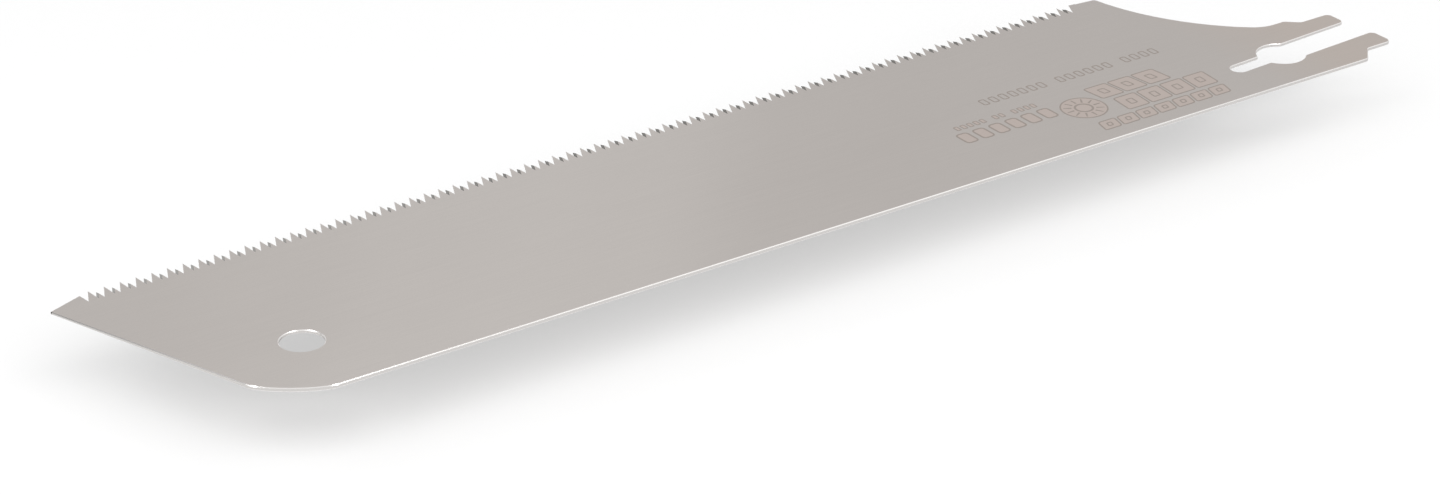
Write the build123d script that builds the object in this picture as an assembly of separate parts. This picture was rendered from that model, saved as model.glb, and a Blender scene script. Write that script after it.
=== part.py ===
from build123d import *
import math
import os

# Replaceable blade of a pull saw: one piece of sheet steel, lying flat.
# +X runs from the toe to the tang, +Y from the spine to the teeth, +Z up.
# The origin is the middle of the round seat in the tang, half way through the sheet.
# All lengths are in millimetres and all angles in degrees.

# Driving dimensions: the sheet, which is ground thinner from the spine towards the teeth
spine_thickness = 0.9
tooth_thickness = 0.6
blade_width = 61.4
edge_break = 0.17

# Driving dimensions: the teeth
tooth_pitch = 1.75
tooth_pairs = 71
tooth_depth = 3.9
tip_lean = 0.8  # share of a tooth's base that lies behind its point
bevel_shift = 0.55  # how far along a gullet moves from one face of the sheet to the other
bend_height = 1.5
tooth_set = 0.06
root_strip = 1.5  # sheet below the gullets that is made together with the teeth

# Driving dimensions: the toe
seat_to_teeth = 22.75
toe_land_length = 8.4
toe_land_angle = 20.5
toe_land_drop = 0.2
toe_angle = 19.2
toe_corner_size = (13.1, 8.9)
toe_corner_radius = 28.0
toe_corner_blend = 6.0
hang_hole_centre = (-245.6, 6.1)
hang_hole_radius = 4.5

# Driving dimensions: the heel and the neck
seat_to_spine = 13.0
heel_land_start = 1.3
heel_land_length = 7.3
heel_land_height = 3.7
heel_land_angle = 5.7
heel_round = 1.0
neck_radius = 52.0
shoulder_start_x = 6.8
shoulder_y = 13.2
shoulder_fillet = 8.0

# Driving dimensions: the forked tang
slot_angle = 3.2
seat_radius = 5.45
mouth_width = 7.8
slit_width = 4.0
slit_length = 14.9
seat_blend = 0.6
upper_prong_end = 23.8
upper_prong_edge = 10.6
upper_step = (12.6, 15.6)
lower_prong_end = 25.1
lower_prong_edge = -8.8
lower_step = (14.1, 17.9)
step_round = 1.2
prong_round = 1.4

# Levels and stations that follow from them
spine_y = -seat_to_spine
tip_y = spine_y + blade_width
gullet_y = tip_y - tooth_depth
root_y = gullet_y - root_strip
teeth = 2 * tooth_pairs
teeth_end_x = -seat_to_teeth
teeth_start_x = teeth_end_x - teeth * tooth_pitch
top_z = tooth_thickness / 2
bottom_z = -tooth_thickness / 2

# A tooth is wide on its outer face, which ends in the cutting point, and narrow on the other.
outer_base = tooth_pitch + bevel_shift
inner_base = tooth_pitch - bevel_shift
back_run_per_rise = tip_lean * outer_base / tooth_depth
front_run_per_rise = (1 - tip_lean) * outer_base / tooth_depth
set_per_rise = tooth_set / (tooth_depth - bend_height)


def slope(angle):
    return math.tan(math.radians(angle))


def is_set_up(number):
    # The teeth are set alternately, and the first one at the toe is set upwards.
    return number % 2 == 0


def gullet_x(number, on_top):
    # Where a gullet crosses the top or the bottom face: its wall leans with the bevel.
    middle = teeth_start_x + number * tooth_pitch
    return middle - bevel_shift / 2 if is_set_up(number) == on_top else middle + bevel_shift / 2


# Corners of the un-toothed lands at the two ends of the toothed edge.
toe_corner = (teeth_start_x - toe_land_length, gullet_y + toe_land_drop)
heel_corner = (
    teeth_end_x + heel_land_start + heel_land_length,
    gullet_y + heel_land_height - heel_land_length * slope(heel_land_angle),
)


def toe_land_point(x):
    return (x, toe_corner[1] + (x - toe_corner[0]) * slope(toe_land_angle))


def heel_land_point(x):
    return (x, heel_corner[1] + (heel_corner[0] - x) * slope(heel_land_angle))


toe_seam = toe_land_point(teeth_start_x - 2 * bevel_shift - 1)
heel_seam = heel_land_point(teeth_end_x + 2 * bevel_shift + 2)


def toe_notch(on_top):
    # The wall of the first gullet, parallel to the front of a tooth, meets the toe land here.
    x = gullet_x(0, on_top)
    rise = (toe_land_point(x)[1] - gullet_y) / (1 + front_run_per_rise * slope(toe_land_angle))
    return (x - rise * front_run_per_rise, gullet_y + rise)


def heel_notch(on_top):
    # The wall of the last gullet, parallel to the back of a tooth, meets the heel land here.
    x = gullet_x(teeth, on_top)
    rise = (heel_land_point(x)[1] - gullet_y) / (1 + back_run_per_rise * slope(heel_land_angle))
    return (x + rise * back_run_per_rise, gullet_y + rise)


# The ends of the arc that rounds off the corner between the toe and the spine.
arc_start_y = spine_y + toe_corner_size[1]
arc_start = (toe_corner[0] + (toe_corner[1] - arc_start_y) * slope(toe_angle), arc_start_y)
arc_end = (arc_start[0] + toe_corner_size[0], spine_y)


def outer_outline():
    # The outline of the sheet below the teeth, before the slot and the holes are cut.
    shoulder_start = (shoulder_start_x, shoulder_y)
    with BuildSketch() as sketch:
        with BuildLine():
            Polyline(
                arc_start,
                toe_corner,
                toe_seam,
                (toe_seam[0], root_y),
                (heel_seam[0], root_y),
                heel_seam,
                heel_corner,
            )
            RadiusArc(heel_corner, shoulder_start, -neck_radius)
            Polyline(
                shoulder_start,
                (upper_step[0], shoulder_y),
                (upper_step[1], upper_prong_edge),
                (upper_prong_end, upper_prong_edge),
                (upper_prong_end, 0),
                (lower_prong_end, 0),
                (lower_prong_end, lower_prong_edge),
                (lower_step[1], lower_prong_edge),
                (lower_step[0], spine_y),
                arc_end,
            )
            RadiusArc(arc_end, arc_start, toe_corner_radius)
        make_face()
    return sketch.sketch


def tang_slot():
    # A wide mouth between the prongs, a round seat, and a narrow slit that lets the prongs spring.
    mouth_length = 2 * lower_prong_end
    slit_straight = slit_length - slit_width / 2
    mouth = Pos(mouth_length / 2, 0) * Rectangle(mouth_length, mouth_width)
    seat = Circle(seat_radius)
    slit = Pos(-slit_straight / 2, 0) * Rectangle(slit_straight, slit_width)
    slit_end = Pos(-slit_straight, 0) * Circle(slit_width / 2)
    return Rot(0, 0, slot_angle) * (mouth + seat + slit + slit_end)


def rounded(sketch, point, radius):
    # The same sketch with its corner nearest to the point rounded.
    corner = sketch.vertices().sort_by_distance(Vector(*point))[0]
    return fillet(corner, radius)


def seat_corner(half_width, towards_mouth, side):
    # Where the round seat runs into one edge of the mouth or of the slit.
    along = math.sqrt(seat_radius**2 - half_width**2) * towards_mouth
    corner = Vector(along, half_width * side, 0).rotate(Axis.Z, slot_angle)
    return (corner.X, corner.Y, 0)


def sheet_outline():
    sketch = outer_outline() - tang_slot() - Pos(*hang_hole_centre) * Circle(hang_hole_radius)
    sketch = rounded(sketch, (shoulder_start_x, shoulder_y, 0), shoulder_fillet)
    sketch = rounded(sketch, (*heel_corner, 0), heel_round)
    for corner in (arc_start, arc_end):
        sketch = rounded(sketch, (*corner, 0), toe_corner_blend)
    for side in (-1, 1):
        sketch = rounded(sketch, seat_corner(mouth_width / 2, 1, side), seat_blend)
        sketch = rounded(sketch, seat_corner(slit_width / 2, -1, side), seat_blend)
    for corner in (
        (upper_step[0], shoulder_y, 0),
        (upper_step[1], upper_prong_edge, 0),
        (lower_step[0], spine_y, 0),
        (lower_step[1], lower_prong_edge, 0),
    ):
        sketch = rounded(sketch, corner, step_round)
    mouth_middle = lower_prong_end * slope(slot_angle)
    for corner in (
        (upper_prong_end, upper_prong_edge, 0),
        (upper_prong_end, mouth_middle + mouth_width / 2, 0),
        (lower_prong_end, lower_prong_edge, 0),
        (lower_prong_end, mouth_middle - mouth_width / 2, 0),
    ):
        sketch = rounded(sketch, corner, prong_round)
    return sketch


def is_rim(edge):
    # The edges of the two broad faces are broken, apart from the lands and the toothed strip.
    start, end = edge.position_at(0), edge.position_at(1)
    crosses_the_sheet = start.Z * end.Z < 0
    beside_the_teeth = edge.center().Y > root_y - edge_break and edge.center().X < heel_corner[0] - edge_break
    return not crosses_the_sheet and not beside_the_teeth


def ground_thickness():
    # The space between the two ground faces, running the whole length of the blade.
    profile = Plane.YZ * make_face(
        Polyline(
            (spine_y, -spine_thickness / 2),
            (root_y, bottom_z),
            (tip_y, bottom_z),
            (tip_y, top_z),
            (root_y, top_z),
            (spine_y, spine_thickness / 2),
            close=True,
        )
    )
    return extrude(profile, 2 * abs(toe_corner[0]), both=True)


def sheet():
    solid = extrude(sheet_outline(), spine_thickness, both=True) & ground_thickness()
    rims = [edge for edge in solid.edges() if is_rim(edge)]
    return chamfer(rims, edge_break)


def solid_between(upper, lower):
    # The closed solid between two outlines whose corners correspond one to one.
    walls = []
    for i, (p, q) in enumerate(zip(upper, lower)):
        p_next, q_next = upper[(i + 1) % len(upper)], lower[(i + 1) % len(lower)]
        walls.append(Face(Wire.make_polygon([p, p_next, q_next, q])))
    lid = Face(Wire.make_polygon(upper))
    floor = Face(Wire.make_polygon(lower))
    return Solid(Shell([lid, floor, *walls]))


def strip_outline(on_top):
    # The toothed strip on one face of the sheet, with each tooth cut off where it is bent.
    z = top_z if on_top else bottom_z
    bend_y = gullet_y + bend_height
    points = [(toe_seam[0], root_y), toe_seam, toe_notch(on_top)]
    for number in range(teeth):
        start_x = gullet_x(number, on_top)
        end_x = gullet_x(number + 1, on_top)
        points.append((start_x, gullet_y))
        points.append((start_x + bend_height * back_run_per_rise, bend_y))
        points.append((end_x - bend_height * front_run_per_rise, bend_y))
    points.append((gullet_x(teeth, on_top), gullet_y))
    points += [heel_notch(on_top), heel_seam, (heel_seam[0], root_y)]
    return [(x, y, z) for x, y in points]


def tooth_tip_outline(number, on_top):
    # The part of one tooth above its bend, leaning out of the sheet by the set.
    z = top_z if on_top else bottom_z
    outward = 1 if is_set_up(number) else -1
    start_x = gullet_x(number, on_top)
    end_x = gullet_x(number + 1, on_top)
    height = (end_x - start_x) / outer_base * tooth_depth
    lift = outward * set_per_rise * (height - bend_height)
    return [
        (start_x + bend_height * back_run_per_rise, gullet_y + bend_height, z),
        (end_x - bend_height * front_run_per_rise, gullet_y + bend_height, z),
        (start_x + height * back_run_per_rise, gullet_y + height, z + lift),
    ]


def toothed_strip():
    return solid_between(strip_outline(True), strip_outline(False))


def tooth_tips():
    return [
        solid_between(tooth_tip_outline(number, True), tooth_tip_outline(number, False))
        for number in range(teeth)
    ]


def saw_blade():
    return sheet() + toothed_strip() + tooth_tips()


os.makedirs("parts", exist_ok=True)
blade = saw_blade()
export_step(blade, "parts/saw_blade.step")
print("solids", len(blade.solids()), "valid", blade.is_valid, "faces", len(blade.faces()))
print("box", blade.bounding_box())
print("clear width at the mouth", mouth_width, "slit", slit_width, "mass g", blade.volume * 0.00785)
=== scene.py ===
import math

import bmesh
import bpy
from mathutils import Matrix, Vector


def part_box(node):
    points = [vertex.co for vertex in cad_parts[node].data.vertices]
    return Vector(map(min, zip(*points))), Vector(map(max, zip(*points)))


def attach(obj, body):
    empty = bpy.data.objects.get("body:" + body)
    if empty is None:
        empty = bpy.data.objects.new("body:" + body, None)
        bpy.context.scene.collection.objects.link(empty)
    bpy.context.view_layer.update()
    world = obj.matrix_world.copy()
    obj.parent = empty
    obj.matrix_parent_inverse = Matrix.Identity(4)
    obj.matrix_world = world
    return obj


# The replaceable blade of a pull saw: its ground steel and etched marks, with a floor, lights
# and a camera. Lengths are in metres. +X runs from the toe to the tang, +Y from the spine to
# the teeth, +Z up.

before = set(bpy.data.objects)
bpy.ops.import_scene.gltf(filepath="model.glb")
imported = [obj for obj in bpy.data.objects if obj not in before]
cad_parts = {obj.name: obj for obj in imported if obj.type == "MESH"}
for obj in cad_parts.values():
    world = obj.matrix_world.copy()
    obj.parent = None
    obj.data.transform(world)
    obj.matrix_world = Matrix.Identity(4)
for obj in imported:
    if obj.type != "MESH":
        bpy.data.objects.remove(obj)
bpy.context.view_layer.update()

MM = 0.001

# ---------------------------------------------------------------- places on the blade
low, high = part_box("saw_blade")
SPINE_Y = low.y
TIP_Y = high.y
TOOTH_DEPTH = 3.9 * MM
ROOT_STRIP = 1.5 * MM
GULLET_Y = TIP_Y - TOOTH_DEPTH
ROOT_Y = GULLET_Y - ROOT_STRIP
SPINE_HALF = 0.45 * MM
TOOTH_HALF = 0.3 * MM
HOLE_AT = (-245.6 * MM, 6.1 * MM)
HOLE_AREA_RADIUS = 6 * MM
TANG_FROM = -12 * MM


def face_height(y):
    # Height of the ground top face: the sheet gets thinner from the spine to the teeth.
    share = min(max((y - SPINE_Y) / (ROOT_Y - SPINE_Y), 0.0), 1.0)
    return SPINE_HALF + (TOOTH_HALF - SPINE_HALF) * share


# ---------------------------------------------------------------- shader helpers
def new_material(name):
    material = bpy.data.materials.new(name)
    material.use_nodes = True
    return material


def add(tree, kind, **settings):
    node = tree.nodes.new(kind)
    for key, value in settings.items():
        setattr(node, key, value)
    return node


def grey(tone):
    return (tone, tone, tone)


def ramp(tree, source, stops, smooth=False):
    node = add(tree, "ShaderNodeValToRGB")
    node.color_ramp.interpolation = "EASE" if smooth else "LINEAR"
    tree.links.new(source, node.inputs["Fac"])
    elements = node.color_ramp.elements
    while len(elements) < len(stops):
        elements.new(0.5)
    for element, (position, tone) in zip(elements, stops):
        element.position = position
        element.color = (*grey(tone), 1.0)
    return node.outputs["Color"]


def math_node(tree, operation, *operands, clamp=False):
    node = add(tree, "ShaderNodeMath", operation=operation, use_clamp=clamp)
    for socket, operand in zip(node.inputs, operands):
        if isinstance(operand, (int, float)):
            socket.default_value = operand
        else:
            tree.links.new(operand, socket)
    return node.outputs["Value"]


def mix_colour(tree, share, first, second):
    node = add(tree, "ShaderNodeMix", data_type="RGBA")
    tree.links.new(share, node.inputs["Factor"])
    for socket, value in ((node.inputs[6], first), (node.inputs[7], second)):
        if isinstance(value, tuple):
            socket.default_value = (*value, 1.0)
        else:
            tree.links.new(value, socket)
    return node.outputs[2]


def map_range(tree, value, from_low, from_high, to_low, to_high):
    node = add(tree, "ShaderNodeMapRange")
    tree.links.new(value, node.inputs["Value"])
    node.inputs["From Min"].default_value = from_low
    node.inputs["From Max"].default_value = from_high
    node.inputs["To Min"].default_value = to_low
    node.inputs["To Max"].default_value = to_high
    return node.outputs["Result"]


def stretched_noise(tree, coordinates, scale, detail):
    mapping = add(tree, "ShaderNodeMapping")
    mapping.inputs["Scale"].default_value = scale
    tree.links.new(coordinates, mapping.inputs["Vector"])
    noise = add(tree, "ShaderNodeTexNoise")
    noise.inputs["Scale"].default_value = 1.0
    noise.inputs["Detail"].default_value = detail
    noise.inputs["Roughness"].default_value = 0.6
    tree.links.new(mapping.outputs["Vector"], noise.inputs["Vector"])
    return noise.outputs["Fac"]


def spread(tree, noise, low_end, high_end):
    # Most of a noise lies between 0.3 and 0.7: that stretch is spread from one end to the other.
    return map_range(tree, noise, 0.3, 0.7, low_end, high_end)


def distance_from(tree, coordinates, point):
    node = add(tree, "ShaderNodeVectorMath", operation="DISTANCE")
    tree.links.new(coordinates, node.inputs[0])
    node.inputs[1].default_value = point
    return node.outputs["Value"]


def scaled(tree, colour, factor):
    node = add(tree, "ShaderNodeVectorMath", operation="SCALE")
    tree.links.new(colour, node.inputs[0])
    tree.links.new(factor, node.inputs["Scale"])
    return node.outputs["Vector"]


def split_axes(tree, vector):
    node = add(tree, "ShaderNodeSeparateXYZ")
    tree.links.new(vector, node.inputs[0])
    return node.outputs["X"], node.outputs["Y"], node.outputs["Z"]


def put_bump(tree, height, strength, distance):
    bump = add(tree, "ShaderNodeBump")
    bump.inputs["Strength"].default_value = strength
    bump.inputs["Distance"].default_value = distance
    tree.links.new(height, bump.inputs["Height"])
    tree.links.new(bump.outputs["Normal"], tree.nodes["Principled BSDF"].inputs["Normal"])


# ---------------------------------------------------------------- ground steel
# Plain steel and a lighter copy of it: mixed by the tone below, they paint a sheen onto the faces.
STEEL_PAINTED_SHEEN = (0.690, 0.649, 0.618)
STEEL_PLAIN = (0.591, 0.551, 0.523)
# Painted shade: the bevels of the teeth are much darker than the faces.
BEVEL_SHADE_STEEL = (0.23, 0.22, 0.205)
WALL_STEEL = (0.62, 0.60, 0.585)
# Painted highlight: the broken edges are near white.
EDGE_HIGHLIGHT_STEEL = (0.98, 0.955, 0.935)
# The tang has a faint warm tint. It comes in from the start of the tang up to TAN_TO.
STEEL_TANNED = (0.616, 0.550, 0.504)
TAN_TO = 10 * MM
# How light the painted sheen is, a lighter band painted into the colour as a reflection: from 0, dull,
# to 1, light, at places in metres along the blade.
PAINTED_SHEEN_STATIONS = (
    (-0.290, 0.34),
    (-0.250, 0.60),
    (-0.225, 0.82),
    (-0.190, 0.88),
    (-0.165, 0.74),
    (-0.125, 0.17),
    (-0.090, 0.05),
    (0.025, 0.02),
)
# The stations hold along this line. Off it the painted light band lies askew: its place shifts this far
# along the blade per unit across it.
STATIONS_Y = 11 * MM
TONE_SKEW = 0.8
# The tone is lighter by this at the spine, which fades out at the line that follows.
SPINE_TONE = 0.14
SPINE_TONE_TO = 10 * MM
# How fine the scratches, the grain and the clouds are along X, Y and Z: features per metre.
SCRATCH_SCALE = (60.0, 9000.0, 9000.0)
GRAIN_SCALE = (2600.0, 2600.0, 2600.0)
CLOUD_SCALE = (14.0, 22.0, 14.0)
# Scratches and grain multiply the colour, and clouds are added to the tone.
STREAK_TONES = (0.97, 1.03)
SPECKLE_TONES = (0.985, 1.015)
CLOUD_TONES = (-0.08, 0.08)
SCRATCH_SHARE = 0.7
FACE_ROUGHNESS = (0.36, 0.42)
EDGE_SMOOTHER_BY = 0.26
CUT_OUT_ROUGHER_BY = 0.2
# The upright part of a surface's normal is below the first of these on a broken edge or a
# bevel, and below the second on a wall.
LEANING_BELOW = 0.93
STANDING_BELOW = 0.3
TEETH_FROM = GULLET_Y - 0.05 * MM


# The tone of the faces: a painted reflection band along the blade, lighter at the spine, with random
# clouds added.
def cloud_and_painted_sheen_tone(tree, x, y, cloud):
    first, last = PAINTED_SHEEN_STATIONS[0][0], PAINTED_SHEEN_STATIONS[-1][0]
    skew = math_node(tree, "MULTIPLY", math_node(tree, "SUBTRACT", y, STATIONS_Y), TONE_SKEW)
    along = map_range(tree, math_node(tree, "SUBTRACT", x, skew), first, last, 0.0, 1.0)
    stops = [((place - first) / (last - first), tone) for place, tone in PAINTED_SHEEN_STATIONS]
    tone = ramp(tree, along, stops, smooth=True)
    at_spine = map_range(tree, y, SPINE_Y, SPINE_TONE_TO, SPINE_TONE, 0.0)
    clouds = spread(tree, cloud, *CLOUD_TONES)
    return math_node(tree, "ADD", math_node(tree, "ADD", tone, at_spine), clouds, clamp=True)


def face_colour(tree, x, y, scratch, grain, cloud):
    # The two broad faces: a painted light band that stands for a reflection, a warm tang, scratches
    # along the blade and fine grain.
    colour = mix_colour(tree, cloud_and_painted_sheen_tone(tree, x, y, cloud), STEEL_PLAIN, STEEL_PAINTED_SHEEN)
    tanned = map_range(tree, x, TANG_FROM, TAN_TO, 0.0, 1.0)
    colour = mix_colour(tree, tanned, colour, STEEL_TANNED)
    streaks = spread(tree, scratch, *STREAK_TONES)
    speckle = spread(tree, grain, *SPECKLE_TONES)
    return scaled(tree, colour, math_node(tree, "MULTIPLY", streaks, speckle))


def steel_roughness(tree, place, x, leaning, cloud):
    # Broken edges are smoother than the faces, but hardly so around the hole and at the tang.
    from_hole = distance_from(tree, place, (*HOLE_AT, 0.0))
    at_hole = math_node(tree, "LESS_THAN", from_hole, HOLE_AREA_RADIUS)
    at_tang = math_node(tree, "GREATER_THAN", x, TANG_FROM)
    cut_out = math_node(tree, "MAXIMUM", at_hole, at_tang)
    rougher = math_node(tree, "MULTIPLY", cut_out, CUT_OUT_ROUGHER_BY)
    smoother = math_node(tree, "SUBTRACT", EDGE_SMOOTHER_BY, rougher)
    rough = map_range(tree, cloud, 0.2, 0.8, *FACE_ROUGHNESS)
    return math_node(tree, "SUBTRACT", rough, math_node(tree, "MULTIPLY", leaning, smoother))


def blade_steel():
    material = new_material("blade_steel")
    tree = material.node_tree
    shader = tree.nodes["Principled BSDF"]
    shader.inputs["Metallic"].default_value = 1.0
    place = add(tree, "ShaderNodeTexCoord").outputs["Object"]
    x, y, _ = split_axes(tree, place)
    _, _, facing_up = split_axes(tree, add(tree, "ShaderNodeNewGeometry").outputs["True Normal"])
    upright = math_node(tree, "ABSOLUTE", facing_up)

    scratch = stretched_noise(tree, place, SCRATCH_SCALE, detail=3.0)
    grain = stretched_noise(tree, place, GRAIN_SCALE, detail=2.0)
    cloud = stretched_noise(tree, place, CLOUD_SCALE, detail=3.0)

    # Flat faces keep the ground finish and its painted sheen. Bevels of the teeth, walls and broken
    # edges have their own colours, picked by which way they face: painted shade on the tooth bevels and
    # a painted highlight on the broken edges.
    in_teeth = math_node(tree, "GREATER_THAN", y, TEETH_FROM)
    leaning = math_node(tree, "LESS_THAN", upright, LEANING_BELOW)
    standing = math_node(tree, "LESS_THAN", upright, STANDING_BELOW)
    bevel = math_node(tree, "MULTIPLY", in_teeth, leaning)
    colour = mix_colour(tree, leaning, face_colour(tree, x, y, scratch, grain, cloud), EDGE_HIGHLIGHT_STEEL)
    colour = mix_colour(tree, standing, colour, WALL_STEEL)
    colour = mix_colour(tree, bevel, colour, BEVEL_SHADE_STEEL)
    tree.links.new(colour, shader.inputs["Base Color"])
    tree.links.new(steel_roughness(tree, place, x, leaning, cloud), shader.inputs["Roughness"])

    scratch_height = math_node(tree, "MULTIPLY", scratch, SCRATCH_SHARE)
    grain_height = math_node(tree, "MULTIPLY", grain, 1 - SCRATCH_SHARE)
    height = math_node(tree, "ADD", scratch_height, grain_height)
    put_bump(tree, height, strength=0.12, distance=0.02 * MM)
    return material


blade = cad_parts["saw_blade"]
blade.data.materials.clear()
blade.data.materials.append(blade_steel())


# ---------------------------------------------------------------- etched marks
# Generic blocks, cells and a wheel stand where a maker would etch a name; they spell nothing.
ETCH_STROKE = 0.34 * MM
ETCH_PROUD = 0.012 * MM
ETCH_SUNK = 0.03 * MM
FROST_PROUD = 0.006 * MM
FROST_SCALE = (3500.0, 3500.0, 3500.0)
FROST_ROUGHNESS = (0.38, 0.5)
LINE_COLOURS = ((0.385, 0.332, 0.300), (0.513, 0.448, 0.405))
FROST_COLOURS = ((0.623, 0.540, 0.497), (0.664, 0.580, 0.536))


def etched_steel(name, dark, light):
    material = new_material(name)
    tree = material.node_tree
    shader = tree.nodes["Principled BSDF"]
    shader.inputs["Metallic"].default_value = 1.0
    place = add(tree, "ShaderNodeTexCoord").outputs["Object"]
    frost = stretched_noise(tree, place, FROST_SCALE, detail=2.0)
    tree.links.new(mix_colour(tree, frost, dark, light), shader.inputs["Base Color"])
    tree.links.new(spread(tree, frost, *FROST_ROUGHNESS), shader.inputs["Roughness"])
    put_bump(tree, frost, strength=0.2, distance=0.01 * MM)
    return material


CORNER_STEPS = 3
CIRCLE_POINTS = 40


def rounded_box(x0, x1, y0, y1, radius, lean=0.0):
    # Corner points of a box with rounded corners, sheared along X by the lean per unit of Y.
    right, left, top, bottom = x1 - radius, x0 + radius, y1 - radius, y0 + radius
    points = []
    for cx, cy, first in ((right, top, 0), (left, top, 90), (left, bottom, 180), (right, bottom, 270)):
        for step in range(CORNER_STEPS + 1):
            angle = math.radians(first + 90 / CORNER_STEPS * step)
            x, y = cx + radius * math.cos(angle), cy + radius * math.sin(angle)
            points.append((x + lean * (y - y0), y))
    return points


def circle(cx, cy, radius):
    points = []
    for i in range(CIRCLE_POINTS):
        angle = math.tau / CIRCLE_POINTS * i
        points.append((cx + radius * math.cos(angle), cy + radius * math.sin(angle)))
    return points


def shrunk(points, stroke):
    # The same convex outline moved inwards by the stroke.
    inner = []
    for i, (x, y) in enumerate(points):
        before, after = points[i - 1], points[(i + 1) % len(points)]
        dx, dy = after[0] - before[0], after[1] - before[1]
        length = math.hypot(dx, dy)
        inner.append((x - dy / length * stroke, y + dx / length * stroke))
    return inner


class Etching:
    # Collects closed thin solids that follow the ground top face of the blade.
    def __init__(self, name):
        self.name = name
        self.mesh = bmesh.new()

    def layer(self, points, offset):
        return [self.mesh.verts.new((x, y, face_height(y) + offset)) for x, y in points]

    def band(self, first, second):
        for i in range(len(first)):
            j = (i + 1) % len(first)
            self.mesh.faces.new((first[i], first[j], second[j], second[i]))

    def solid(self, points, proud=ETCH_PROUD):
        top, bottom = self.layer(points, proud), self.layer(points, -ETCH_SUNK)
        self.mesh.faces.new(top)
        self.mesh.faces.new(list(reversed(bottom)))
        self.band(bottom, top)

    def outline(self, points, stroke=ETCH_STROKE):
        inner = shrunk(points, stroke)
        top, bottom = self.layer(points, ETCH_PROUD), self.layer(points, -ETCH_SUNK)
        inner_top, inner_bottom = self.layer(inner, ETCH_PROUD), self.layer(inner, -ETCH_SUNK)
        self.band(top, inner_top)
        self.band(bottom, top)
        self.band(inner_top, inner_bottom)
        self.band(inner_bottom, bottom)

    def finish(self, material):
        bmesh.ops.recalc_face_normals(self.mesh, faces=self.mesh.faces)
        data = bpy.data.meshes.new(self.name)
        self.mesh.to_mesh(data)
        self.mesh.free()
        data.materials.append(material)
        piece = bpy.data.objects.new(self.name, data)
        bpy.context.scene.collection.objects.link(piece)
        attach(piece, "root")


BLOCK_MARGIN = 0.2 * MM
BLOCK_RADIUS = 0.7 * MM
CORE_RADIUS = 0.4 * MM
# How far the core stands in from each side of its block, as a share of the block's size.
CORE_INSET_X = 0.34
CORE_INSET_Y = 0.3


def block_row(lines, fill, x0, x1, y0, y1, count, lean):
    # A row of blocks side by side: an outline and a hollow core over a frosted ground.
    step = (x1 - x0) / count
    for i in range(count):
        left = x0 + i * step + BLOCK_MARGIN
        right = x0 + (i + 1) * step - BLOCK_MARGIN
        block = rounded_box(left, right, y0, y1, BLOCK_RADIUS, lean)
        lines.outline(block)
        fill.solid(shrunk(block, ETCH_STROKE / 2), FROST_PROUD)
        inset_x = (right - left) * CORE_INSET_X
        inset_y = (y1 - y0) * CORE_INSET_Y
        core_left = left + inset_x + lean * inset_y
        core_right = right - inset_x + lean * inset_y
        lines.outline(rounded_box(core_left, core_right, y0 + inset_y, y1 - inset_y, CORE_RADIUS, lean))


CELL_ROUNDING = 0.3


def cell_row(lines, fill, x0, x1, y0, y1, groups, width, stroke):
    # Small empty cells in groups, with one free place between the groups.
    places = sum(groups) + len(groups) - 1
    step = (x1 - x0) / places
    place = 0
    for group in groups:
        for _ in range(group):
            left = x0 + place * step + (step - width) / 2
            cell = rounded_box(left, left + width, y0, y1, width * CELL_ROUNDING)
            lines.outline(cell, stroke)
            if fill:
                fill.solid(shrunk(cell, stroke / 2), FROST_PROUD)
            place += 1
        place += 1


HUB_STROKE = 0.5 * MM
RAY_FROM_HUB = 0.5 * MM
RAY_FROM_RIM = 0.8 * MM
RAY_WIDE_HALF = 0.25 * MM
RAY_NARROW_HALF = 0.13 * MM


def wheel(lines, fill, centre, rim, hub, rays):
    # A plain roundel: a rim, a hub and short rays between them.
    disc = circle(*centre, rim)
    lines.outline(disc)
    lines.outline(circle(*centre, hub), HUB_STROKE)
    fill.solid(shrunk(disc, ETCH_STROKE / 2), FROST_PROUD)
    inner_end, outer_end = hub + RAY_FROM_HUB, rim - RAY_FROM_RIM
    corners = (
        (inner_end, -RAY_WIDE_HALF),
        (outer_end, -RAY_NARROW_HALF),
        (outer_end, RAY_NARROW_HALF),
        (inner_end, RAY_WIDE_HALF),
    )
    for i in range(rays):
        angle = math.tau * i / rays
        along = Vector((math.cos(angle), math.sin(angle)))
        across = Vector((-along.y, along.x))
        ray = [Vector(centre) + along * reach + across * side for reach, side in corners]
        lines.solid([(point.x, point.y) for point in ray])


def make_marks():
    # Each row gives its span along X and its span along Y. A block row then gives its count and
    # lean, and a cell row its groups, the width of a cell and the stroke.
    lines = Etching("etched_lines")
    fill = Etching("etched_ground")
    block_row(lines, fill, -58 * MM, -22 * MM, -8.9 * MM, -4.7 * MM, 7, 0.25)
    block_row(lines, fill, -47 * MM, -21 * MM, -3.6 * MM, 3.0 * MM, 4, 0.1)
    block_row(lines, fill, -48 * MM, -28 * MM, 4.0 * MM, 10.4 * MM, 3, -0.1)
    wheel(lines, fill, (-54.2 * MM, 2.8 * MM), 5.3 * MM, 2.2 * MM, 12)
    cell_row(lines, fill, -86.4 * MM, -60.2 * MM, 2.7 * MM, 7.7 * MM, (6,), 3.3 * MM, 0.42 * MM)
    cell_row(lines, fill, -84.0 * MM, -61.6 * MM, 9.0 * MM, 11.0 * MM, (5, 2, 4), 1.2 * MM, 0.26 * MM)
    cell_row(lines, None, -71.3 * MM, -21.0 * MM, 16.0 * MM, 18.9 * MM, (7, 6, 4), 1.75 * MM, 0.33 * MM)
    lines.finish(etched_steel("etched_lines", *LINE_COLOURS))
    fill.finish(etched_steel("etched_ground", *FROST_COLOURS))


make_marks()


# ---------------------------------------------------------------- floor
FLOOR_DROP = 20 * MM
FLOOR_Z = low.z - FLOOR_DROP
FLOOR_REACH = 4.0
FLOOR_GLOW = 0.469
FLOOR_GREY = 0.21
FLOOR_MOTTLE = 0.02
PAPER_SCALE = (900.0, 900.0, 900.0)


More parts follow.
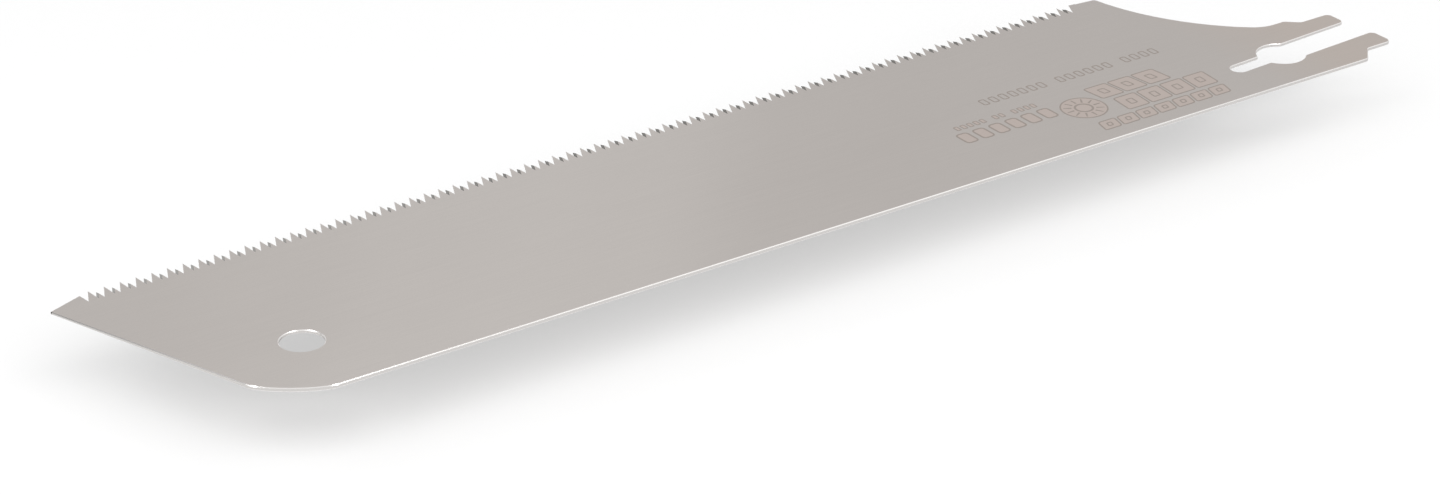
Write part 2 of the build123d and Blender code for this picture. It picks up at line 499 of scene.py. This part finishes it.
def floor_material():
    # A softly lit table: part of its white is its own glow, so shadows on it stay light.
    material = new_material("studio_floor")
    tree = material.node_tree
    shader = tree.nodes["Principled BSDF"]
    shader.inputs["Roughness"].default_value = 0.9
    shader.inputs["Specular IOR Level"].default_value = 0.0
    place = add(tree, "ShaderNodeTexCoord").outputs["Object"]
    paper = stretched_noise(tree, place, PAPER_SCALE, detail=2.0)
    dark, light = FLOOR_GREY * (1 - FLOOR_MOTTLE), FLOOR_GREY * (1 + FLOOR_MOTTLE)
    colour = mix_colour(tree, paper, grey(dark), grey(light))
    tree.links.new(colour, shader.inputs["Base Color"])
    shader.inputs["Emission Color"].default_value = (1.0, 1.0, 1.0, 1.0)
    shader.inputs["Emission Strength"].default_value = FLOOR_GLOW
    return material


def make_floor():
    mesh = bpy.data.meshes.new("floor")
    sides = ((-1, -1), (1, -1), (1, 1), (-1, 1))
    corners = [(FLOOR_REACH * x, FLOOR_REACH * y, FLOOR_Z) for x, y in sides]
    mesh.from_pydata(corners, [], [(0, 1, 2, 3)])
    floor = bpy.data.objects.new("floor", mesh)
    bpy.context.scene.collection.objects.link(floor)
    mesh.materials.append(floor_material())


# ---------------------------------------------------------------- world and lights
# Greys of the surroundings, from below, 0, through level, 0.5, to straight up, 1.
SKY = ((0.5, 0.62), (0.60, 0.70), (0.72, 0.76), (1.0, 0.80))
SCREEN_AZIMUTH = 137
SCREEN_ELEVATION = 32
SCREEN_INNER = 8
SCREEN_OUTER = 13
SCREEN_TONE = 0.3
LIGHTS_AIM_AT = Vector((-0.13, 0.02, 0.0))


def compass(azimuth, elevation):
    # Azimuth is counted from +X towards +Y, elevation from the floor up.
    a, e = math.radians(azimuth), math.radians(elevation)
    return Vector((math.cos(e) * math.cos(a), math.cos(e) * math.sin(a), math.sin(e)))


def make_world():
    world = bpy.data.worlds.new("studio")
    bpy.context.scene.world = world
    world.use_nodes = True
    tree = world.node_tree
    background = tree.nodes["Background"]
    direction = add(tree, "ShaderNodeTexCoord").outputs["Generated"]
    _, _, up = split_axes(tree, direction)
    sky = ramp(tree, map_range(tree, up, -1.0, 1.0, 0.0, 1.0), SKY)
    # A dark screen stands off the toe end and darkens what the toe's edge mirrors.
    towards = add(tree, "ShaderNodeVectorMath", operation="DOT_PRODUCT")
    tree.links.new(direction, towards.inputs[0])
    towards.inputs[1].default_value = compass(SCREEN_AZIMUTH, SCREEN_ELEVATION)
    inner, outer = math.cos(math.radians(SCREEN_INNER)), math.cos(math.radians(SCREEN_OUTER))
    light = map_range(tree, towards.outputs["Value"], outer, inner, 1.0, SCREEN_TONE)
    tree.links.new(scaled(tree, sky, light), background.inputs["Color"])
    background.inputs["Strength"].default_value = 1.0


def area_light(name, azimuth, elevation, width, height, power, distance=1.2, mirrored=True):
    # A light that isn't mirrored lights the floor without a glint on the steel.
    data = bpy.data.lights.new(name, "AREA")
    data.shape = "RECTANGLE"
    data.size = width
    data.size_y = height
    data.energy = power
    light = bpy.data.objects.new(name, data)
    light.location = LIGHTS_AIM_AT + compass(azimuth, elevation) * distance
    light.rotation_euler = (LIGHTS_AIM_AT - light.location).to_track_quat("-Z", "Y").to_euler()
    light.visible_glossy = mirrored
    bpy.context.scene.collection.objects.link(light)


make_floor()
make_world()
area_light("key", 240, 43, width=5.7, height=2.55, power=477.0, distance=3.6, mirrored=False)
area_light("rim_right", -70, 57, width=0.26, height=0.22, power=1.0)
area_light("rim_front", -49, 50, width=0.7, height=0.4, power=0.17)
area_light("rim_left", 172, 50, width=0.45, height=0.25, power=1.6)


# ---------------------------------------------------------------- camera
CAMERA_AT = (-0.5764, -0.6060, 0.3667)
LOOK_AZIMUTH = 54.989
LOOK_DOWN = 26.606
FOCAL_LENGTH = 101.845


def make_camera():
    data = bpy.data.cameras.new("camera")
    data.sensor_width = 36.0
    data.lens = FOCAL_LENGTH
    data.clip_end = 20.0
    camera = bpy.data.objects.new("camera", data)
    camera.location = CAMERA_AT
    camera.rotation_euler = (math.radians(90 - LOOK_DOWN), 0.0, math.radians(LOOK_AZIMUTH - 90))
    bpy.context.scene.collection.objects.link(camera)
    bpy.context.scene.camera = camera


make_camera()
bpy.context.scene.view_settings.view_transform = "Standard"
